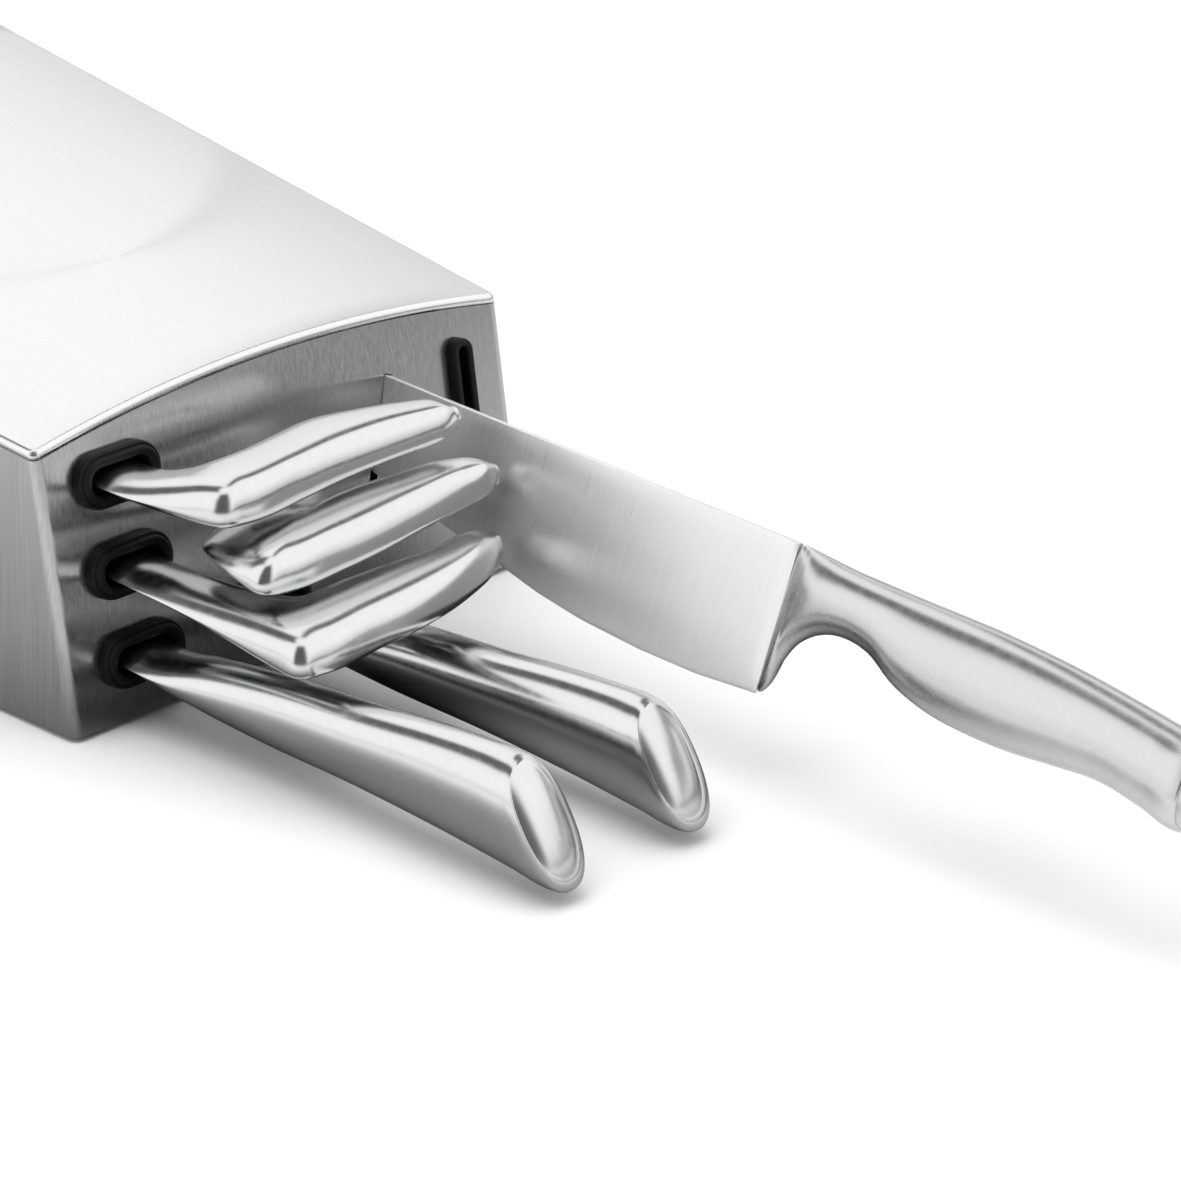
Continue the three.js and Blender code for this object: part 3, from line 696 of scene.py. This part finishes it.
def lid_top(front, rear, points, faces):
    """Adds the lid's top between two halves of its outline, and returns the loop round it."""
    grid = []
    for k in range(LENGTH_STEPS + 1):
        line = []
        for (x, y0, z), (_, y1, _) in zip(front, rear):
            line.append(len(points))
            points.append((x, y0 + (y1 - y0) * k / LENGTH_STEPS, z))
        grid.append(line)
    for k in range(LENGTH_STEPS):
        for i in range(len(front) - 1):
            faces.append((grid[k][i], grid[k][i + 1], grid[k + 1][i + 1], grid[k + 1][i]))
    left = [line[0] for line in grid[1:-1]]
    right = [line[-1] for line in grid[1:-1]]
    return grid[0] + right + grid[-1][::-1] + left[::-1]


def lid_side(front, rear, at):
    """Points along one side of the lid, between the ends of two halves of its outline."""
    x, y0, z = front[at]
    return [
        (x, y0 + (rear[at][1] - y0) * (k / LENGTH_STEPS), z) for k in range(1, LENGTH_STEPS)
    ]


def build_lid(materials):
    """The domed lid: a sheet with a rolled edge and a short skirt."""
    front, rear = lid_halves()
    points, faces = [], []
    edge = lid_top(front[0], rear[0], points, faces)
    for ahead, behind in zip(front[1:], rear[1:]):
        left, right = lid_side(ahead, behind, 0), lid_side(ahead, behind, -1)
        ring = [*ahead, *right, *behind[::-1], *left[::-1]]
        loop = list(range(len(points), len(points) + len(ring)))
        points.extend(ring)
        for i in range(len(loop)):
            j = (i + 1) % len(loop)
            faces.append((edge[i], edge[j], loop[j], loop[i]))
        edge = loop
    lid = make_object("body_lid", [row(*warp(*p)) for p in points], faces, math.radians(60))
    shell = lid.modifiers.new("sheet", "SOLIDIFY")
    shell.thickness = LID_T * MM
    shell.offset = -1
    shell.use_even_offset = True
    finish_piece(lid, "block", materials["lid"], ["shell_top"])


def build_rear(materials):
    """The rear panel, set in between the walls, with softened edges."""
    half = WIDTH / 2 - PANEL_INSET
    soft = PANEL_SOFT
    rings = []
    for y, inset in ((DEPTH - PANEL, soft), (DEPTH - PANEL + soft, 0), (DEPTH - soft, 0),
                     (DEPTH - soft * 0.3, soft * 0.3), (DEPTH, soft)):
        h = half - inset
        ring = [(-h, y, inset), (h, y, inset)]
        for k in range(REAR_STEPS + 1):
            x = h - 2 * h * k / REAR_STEPS
            ring.append((x, y, crown_z(x) - PANEL_INSET - inset))
        rings.append([row(*warp(*p)) for p in ring])
    panel = loft("body_rear", rings, math.radians(35))
    finish_piece(panel, "block", materials["wrap"], ["rear_panel"])


def build_grommets(materials):
    """A rubber rim round each slot: its profile carried round the slot's outline."""
    places = [(key, x, z, SLOT_HALF, RIM, False) for key, (x, z) in SLOTS.items()]
    places.append(("free", FREE_X, FREE_Z, FREE_HALF, FREE_RIM, True))
    for key, x, z, half, profile, upright in places:
        closed = smooth_rows([*profile, profile[0]], RIM_STEPS)[:-1]
        rings = []
        for radius, height in closed:
            ring = stadium(half, radius, upright)
            rings.append([face_point(x, z, u, v, height) for u, v in ring])
        rim = ring_loft(f"rim_{key}", rings)
        finish_piece(rim, "block", materials["rubber"], [f"grommet_{key}"])


# ---- handles ----
def bent_rows(rows, corner):
    """Dense rows of a bent handle, rounded at the outer corner."""
    neck = smooth_rows(rows[:corner + 1], ROW_STEPS)
    grip = smooth_rows(rows[corner:], ROW_STEPS)
    turn = neck[-1]

    def off_corner(r):
        return math.hypot(r[0] - turn[0], r[1] - turn[1])

    neck = [r for r in neck if off_corner(r) > BEND_R]
    grip = [r for r in grip if off_corner(r) > BEND_R]
    return neck + bezier(neck[-1], turn, grip[0], TURN_STEPS) + grip


def bent_ring(r):
    """Points round a bent handle at one of its rows."""
    ring = []
    for cx, cz in bar_section(r[6]):
        t = (1 + cx) / 2
        x, y = r[0] + (r[2] - r[0]) * t, r[1] + (r[3] - r[1]) * t
        ring.append(row(x, y, r[4] + cz * r[5] / 2))
    return ring


def row_middle(r):
    """Middle of a bent handle's row, seen from above."""
    return Vector(((r[0] + r[2]) / 2, (r[1] + r[3]) / 2))


def bent_tip(rows):
    """Rings that round off a tip: the section shrinks to its middle as it moves on."""
    last = rows[-1]
    middle = row_middle(last)
    onward = (middle - row_middle(rows[-4])).normalized()
    reach = Vector(((last[2] - last[0]) / 2, (last[3] - last[1]) / 2))
    rings = []
    for k in range(1, TURN_STEPS):
        angle = math.pi / 2 * k / TURN_STEPS
        shrink = math.cos(angle)
        centre = middle + onward * (math.sin(angle) * TIP_PUSH)
        ring = []
        for cx, cz in bar_section(last[6]):
            across = reach * cx * shrink
            z = last[4] + cz * last[5] / 2 * shrink
            ring.append(row(centre.x + across.x, centre.y + across.y, z))
        rings.append(ring)
    return rings


def build_bent(key, materials):
    """A bent handle, from its slot round the corner to its rounded tip."""
    rows = bent_rows(*BENT[key])
    rings = [bent_ring(r) for r in rows] + bent_tip(rows)
    handle = loft(f"grip_{key}", rings, math.radians(70))
    finish_piece(handle, f"knife_{key}", materials["satin"], [f"handle_{key}"])


def straight_rings(rows, key, steps):
    """Rings of a straight handle or of its cap, at the place of its slot."""
    x0, z0 = SLOTS[key]
    rings = []
    for out, shift, rise, half_w, half_h, slant, blunt in smooth_rows(rows, steps):
        ring = []
        for cx, cz in straight_section(blunt):
            z = cz * half_h
            ring.append(row(x0 + shift + cx * half_w, LEAN * z0 - out + slant * z, z0 + rise + z))
        rings.append(ring)
    return rings


def dome_rows():
    """Rows of a domed cap, which shrinks almost to a point."""
    rows = []
    for k in range(DOME["rings"]):
        shrink = 1 - k / DOME["close"]
        out = DOME["out"] + DOME["rise"] * (1 - shrink ** DOME["power"])
        rows.append((out, DOME["shift"], DOME["up"], DOME["half_w"] * shrink,
                     DOME["half_h"] * shrink, DOME["slant"], 1))
    return rows


def build_straight(key, materials):
    """A straight handle with a slanted rim, and the domed cap in it."""
    rings = straight_rings([*STRAIGHT, *STRAIGHT_RIM], key, HANDLE_STEPS)
    handle = loft(f"grip_{key}", rings, math.radians(70))
    finish_piece(handle, f"knife_{key}", materials["satin"], [f"handle_{key}"])
    cap = loft(f"end_{key}", straight_rings(dome_rows(), key, 1), math.radians(80))
    finish_piece(cap, f"knife_{key}", materials["cap"], [f"cap_{key}"])


def build_chef_handle(materials):
    """The chef's knife's bolster and handle in one piece, and its cap."""
    outline = section(CHEF_POINTS, CHEF_POWER, CHEF_POWER)
    for name, rows, nodes in (
        ("grip_chef", CHEF_HANDLE, ["bolster_chef", "handle_chef"]),
        ("end_chef", CHEF_CAP, ["cap_chef"]),
    ):
        rings = []
        for out, top, bottom, half in smooth_rows(rows, HANDLE_STEPS):
            middle, reach = (top + bottom) / 2, (bottom - top) / 2
            rings.append([chef_point(out, middle + cx * reach, cz * half) for cx, cz in outline])
        piece = loft(name, rings, math.radians(75))
        finish_piece(piece, "knife_chef", materials["grip"], nodes)


# ---- blades ----
def ground_section(spine, edge, grind, half):
    """Depth and side of the points round a ground blade: its sides are parallel as far as the
    grind line, close in from there, and more steeply just before the edge."""
    line = spine + (edge - spine) * grind
    soft = min(SPINE_SOFT, half * 0.4)
    profile = [
        (spine, half - soft), (spine + soft, half), (line, half),
        (spine + (edge - spine) * NEAR_EDGE, NEAR_EDGE_HALF), (edge, EDGE_HALF),
    ]
    return profile + [(depth, -side) for depth, side in profile[::-1]]


def chef_half(out):
    """Half thickness of the chef's blade at a distance out along the spine."""
    blade, heel = CHEF_BLADE, CHEF_HEEL
    if out < blade["tip_from"]:
        return blade["half"] - blade["tip_loss"] * (blade["tip_from"] - out) / blade["tip_length"]
    if out > heel["round_from"]:
        t = (out - heel["round_from"]) / heel["round"]
        return heel["end_half"] + heel["round_half"] * math.sqrt(max(0.0, 1 - t * t))
    if out > heel["from"]:
        return blade["half"] + heel["swell"] * min(1.0, (out - heel["from"]) / heel["over"])
    return blade["half"]


def build_chef_blade(materials):
    """The chef's blade, from its tip in the block to its heel."""
    rings = []
    for out in CHEF_SECTIONS:
        spine, edge = value_at(CHEF_SPINE, out), value_at(CHEF_EDGE, out)
        profile = ground_section(spine, edge, CHEF_BLADE["grind"], chef_half(out))
        rings.append([chef_point(out, depth, side) for depth, side in profile])
    blade = loft("blade_of_chef", rings, math.radians(20))
    even_shading(blade)
    finish_piece(blade, "knife_chef", materials["blade"], ["blade_chef"])


def build_steak_blade(key, materials):
    """A table knife's blade, as long as the CAD node that it replaces."""
    x0, z0 = SLOTS[key]
    low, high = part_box(f"blade_{key}")
    start = (low - ORIGIN).y / MM
    end = (high - ORIGIN).y / MM
    rings = []
    for k in range(BLADE_STEPS + 1):
        t = k / BLADE_STEPS
        y = start + (end - start) * t
        tip = max(0.0, (t - STEAK["tip_from"]) / STEAK["tip_part"])
        edge = -STEAK["half_depth"] + STEAK["edge_rise"] * tip ** 2
        spine = STEAK["half_depth"] - STEAK["spine_drop"] * tip ** STEAK["spine_power"]
        half = STEAK["half"] - STEAK["tip_loss"] * tip
        profile = ground_section(spine, edge, STEAK["grind"], half)
        rings.append([row(x0 + depth, y, z0 + side) for depth, side in profile])
    blade = loft(f"blade_of_{key}", rings, math.radians(20))
    even_shading(blade)
    finish_piece(blade, f"knife_{key}", materials["blade"], [f"blade_{key}"])


# ---- CAD nodes that stay ----
def dress_nodes(materials):
    """Materials and softened edges for the CAD pieces whose shape is right."""
    looks = {"base_mat": "rubber", "base_plate": "zinc", "base_screw": "zinc",
             "rib": "plastic", "sleeve": "plastic"}
    for name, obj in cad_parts.items():
        for start, look in looks.items():
            if not name.startswith(start):
                continue
            obj.data.materials.clear()
            obj.data.materials.append(materials[look])
            weld = obj.modifiers.new("weld", "WELD")
            weld.merge_threshold = WELD_DISTANCE
            soft = obj.modifiers.new("soft_edges", "BEVEL")
            soft.width = SOFT_EDGE
            soft.segments = 2
            soft.limit_method = "ANGLE"
            soft.angle_limit = math.radians(40)
            soft.harden_normals = False


# ---- studio ----
def vector_math(tree, operation, vector, other=None):
    """Length of a vector, or its distance from or its product with another."""
    node = tree.nodes.new("ShaderNodeVectorMath")
    node.operation = operation
    tree.links.new(vector, node.inputs[0])
    if other:
        node.inputs[1].default_value = other
    return node.outputs["Value"]


def painted_table_shade(tree):
    """Painted shade in the table as the steel mirrors it: painted contact shadow by the housing and
    by the grips, lighter around them, dimmer again far to the right, with a painted shadow strip in
    front of the slots."""
    coords = tree.nodes.new("ShaderNodeTexCoord").outputs["Object"]
    parts = tree.nodes.new("ShaderNodeSeparateXYZ")
    tree.links.new(coords, parts.inputs["Vector"])
    tone = multiply(
        tree, ramp(tree, vector_math(tree, "LENGTH", coords), *NEAR_BLOCK),
        ramp(tree, parts.outputs["X"], *FAR_RIGHT),
    )
    from_grips = vector_math(tree, "DISTANCE", coords, GRIPS_ON_TABLE)
    tone = multiply(tree, tone, ramp(tree, from_grips, *NEAR_GRIPS))
    strip = painted_shadow_strip(tree, coords)
    return multiply(tree, tone, ramp(tree, strip, 1.0, STRIP_TONE, 0.0, 1.0))


def painted_shadow_strip(tree, coords):
    """1 on a soft-edged strip of painted shadow that runs from the front panel to the front right,
    0 beside it.
    """
    across = vector_math(tree, "DOT_PRODUCT", coords, STRIP_ACROSS)
    parts = tree.nodes.new("ShaderNodeSeparateXYZ")
    tree.links.new(coords, parts.inputs["Vector"])
    left = ramp(tree, across, *STRIP_LEFT)
    right = ramp(tree, across, *STRIP_RIGHT)
    start = ramp(tree, parts.outputs["Y"], *STRIP_START)
    return multiply(tree, multiply(tree, left, right), start)


def multiply(tree, one, other):
    """Product of two values."""
    node = tree.nodes.new("ShaderNodeMath")
    node.operation = "MULTIPLY"
    tree.links.new(one, node.inputs[0])
    tree.links.new(other, node.inputs[1])
    return node.outputs[0]


def build_floor():
    """A pale table; where the steel mirrors it from close by, painted shade makes it darker."""
    bpy.ops.mesh.primitive_plane_add(size=FLOOR_SIZE, location=(0, 0, 0))
    floor = bpy.context.object
    floor.name = "floor"
    material, tree, shader = new_material("pale_floor_painted_shade")
    speck = stretched_noise(tree, (3, 3, 3), detail=2.0)
    pale = mix_colours(tree, speck, FLOOR_DARK, FLOOR_LIGHT)
    path = tree.nodes.new("ShaderNodeLightPath")
    mix = tree.nodes.new("ShaderNodeMix")
    mix.data_type = "RGBA"
    # mirrored rays see the table's painted shade, camera rays see the pale table
    tree.links.new(path.outputs["Is Glossy Ray"], mix.inputs["Factor"])
    tree.links.new(pale, mix.inputs["A"])
    tree.links.new(painted_table_shade(tree), mix.inputs["B"])
    tree.links.new(mix.outputs["Result"], shader.inputs["Base Color"])
    shader.inputs["Roughness"].default_value = 0.8
    shader.inputs["Specular IOR Level"].default_value = 0.1
    floor.data.materials.append(material)


class Sky:
    """Arithmetic on the direction of the surroundings, as shader nodes."""

    def __init__(self, tree):
        self.tree = tree
        coords = tree.nodes.new("ShaderNodeTexCoord")
        parts = tree.nodes.new("ShaderNodeSeparateXYZ")
        tree.links.new(coords.outputs["Generated"], parts.inputs["Vector"])
        self.x, self.y, self.z = (parts.outputs[axis] for axis in "XYZ")

    def math(self, operation, *values):
        """A math node over numbers and other nodes' values."""
        node = self.tree.nodes.new("ShaderNodeMath")
        node.operation = operation
        for socket, value in zip(node.inputs, values):
            if isinstance(value, (int, float)):
                socket.default_value = value
            else:
                self.tree.links.new(value, socket)
        return node.outputs[0]

    def step(self, value, span, low=0.0, high=1.0):
        """From low to high, smoothly, as the value crosses the span."""
        node = self.tree.nodes.new("ShaderNodeMapRange")
        node.interpolation_type = "SMOOTHSTEP"
        node.inputs["From Min"].default_value = span[0]
        node.inputs["From Max"].default_value = span[1]
        node.inputs["To Min"].default_value = low
        node.inputs["To Max"].default_value = high
        self.tree.links.new(value, node.inputs["Value"])
        return node.outputs["Result"]

    def toward(self, direction):
        """How much the direction agrees with a given one."""
        axes = (self.x, self.y, self.z)
        terms = [self.math("MULTIPLY", axis, d) for axis, d in zip(axes, direction)]
        return self.math("ADD", self.math("ADD", terms[0], terms[1]), terms[2])

    def gap(self, azimuth, span):
        """1 in a dark gap that stands at this azimuth, 0 beside it."""
        across = (-math.sin(azimuth), math.cos(azimuth), 0)
        along = (math.cos(azimuth), math.sin(azimuth), 0)
        away = self.math("ABSOLUTE", self.toward(across))
        ahead = self.step(self.toward(along), GAP_HALF)
        return self.math("MULTIPLY", self.step(away, span, 1.0, 0.0), ahead)

    def darkness(self):
        """1 in the gaps above a certain height and on the dark side of the room, 0 elsewhere."""
        right_gap = self.gap(FAR_RIGHT_AZIMUTH, FAR_RIGHT_GAP)
        left_gap = self.gap(FAR_LEFT_AZIMUTH, FAR_LEFT_GAP)
        gaps = self.math("MAXIMUM", right_gap, left_gap)
        gaps = self.math("MULTIPLY", gaps, self.step(self.z, GAP_HEIGHT))
        flat = self.math("SQRT", self.math("SUBTRACT", 1.001, self.math("POWER", self.z, 2.0)))
        facing = self.math("DIVIDE", self.toward(DARK_SIDE), flat)
        dark = self.math("MAXIMUM", gaps, self.step(facing, DARK_FACING))
        return self.math("MULTIPLY", dark, self.step(self.z, TOP_HEIGHT, 1.0, 0.0))

    def panels(self):
        """Brightness of the panels, less low down on the right."""
        right_side = self.step(self.x, RIGHT_HALF, 0.0, 1.0 - LOW_PANEL)
        low_down = self.step(self.z, LOW_HEIGHT, 1.0, 0.0)
        tone = self.math("SUBTRACT", 1.0, self.math("MULTIPLY", right_side, low_down))
        return self.math("MULTIPLY", tone, PANEL_TONE)

    def horizon(self):
        """The dark line at table height, as a factor: darker on the right than on the left."""
        level = self.math("ABSOLUTE", self.math("SUBTRACT", self.z, HORIZON))
        tone = self.step(self.x, RIGHT_HALF, *HORIZON_TONE)
        line = self.step(level, HORIZON_LINE, 1.0, 0.0)
        line = self.math("MULTIPLY", line, self.math("SUBTRACT", tone, 1.0))
        return self.math("ADD", line, 1.0)


def build_world():
    """White panels with dark gaps between them, the room behind the viewer dark, and a thin
    dark line at table height."""
    world = bpy.data.worlds.new("studio")
    bpy.context.scene.world = world
    world.use_nodes = True
    tree = world.node_tree
    sky = Sky(tree)
    shade = sky.math("MULTIPLY_ADD", sky.darkness(), GAP_TONE - 1.0, 1.0)
    total = sky.math("MULTIPLY", sky.panels(), shade)
    total = sky.math("MULTIPLY", total, sky.horizon())
    background = tree.nodes["Background"]
    tree.links.new(total, background.inputs["Color"])
    background.inputs["Strength"].default_value = 1.0


def build_lights():
    """Large soft lamps, which don't show in the steel."""
    for name, place, target, size, power in SOFTBOXES:
        data = bpy.data.lights.new(name, "AREA")
        data.shape = "SQUARE"
        data.size = size
        data.energy = power
        lamp = bpy.data.objects.new(name, data)
        lamp.location = place
        lamp.visible_glossy = False
        lamp.rotation_euler = (Vector(target) - Vector(place)).to_track_quat("-Z", "Y").to_euler()
        bpy.context.scene.collection.objects.link(lamp)


def build_camera():
    """The camera, placed and turned by its axes made square to each other."""
    data = bpy.data.cameras.new("camera")
    data.sensor_width = 36.0
    data.lens = CAMERA_LENS
    data.clip_start = 0.01
    data.clip_end = 50.0
    camera = bpy.data.objects.new("camera", data)
    across, up = Vector(CAMERA_ACROSS), Vector(CAMERA_UP)
    back = across.cross(up).normalized()
    up = back.cross(across.normalized())
    turn = Matrix((across.normalized(), up, back)).transposed()
    camera.matrix_world = Matrix.Translation(CAMERA_PLACE) @ turn.to_4x4()
    bpy.context.scene.collection.objects.link(camera)
    bpy.context.scene.camera = camera
    bpy.context.scene.view_settings.view_transform = "Standard"


def main():
    """Builds the pieces, the looks of the CAD nodes that stay, and the studio."""
    materials = make_materials()
    build_camera()
    build_wrap(materials)
    build_lid(materials)
    build_rear(materials)
    build_grommets(materials)
    for key in "abc":
        build_bent(key, materials)
    for key in "de":
        build_straight(key, materials)
    for key in "abcde":
        build_steak_blade(key, materials)
    build_chef_blade(materials)
    build_chef_handle(materials)
    dress_nodes(materials)
    build_floor()
    build_world()
    build_lights()


main()
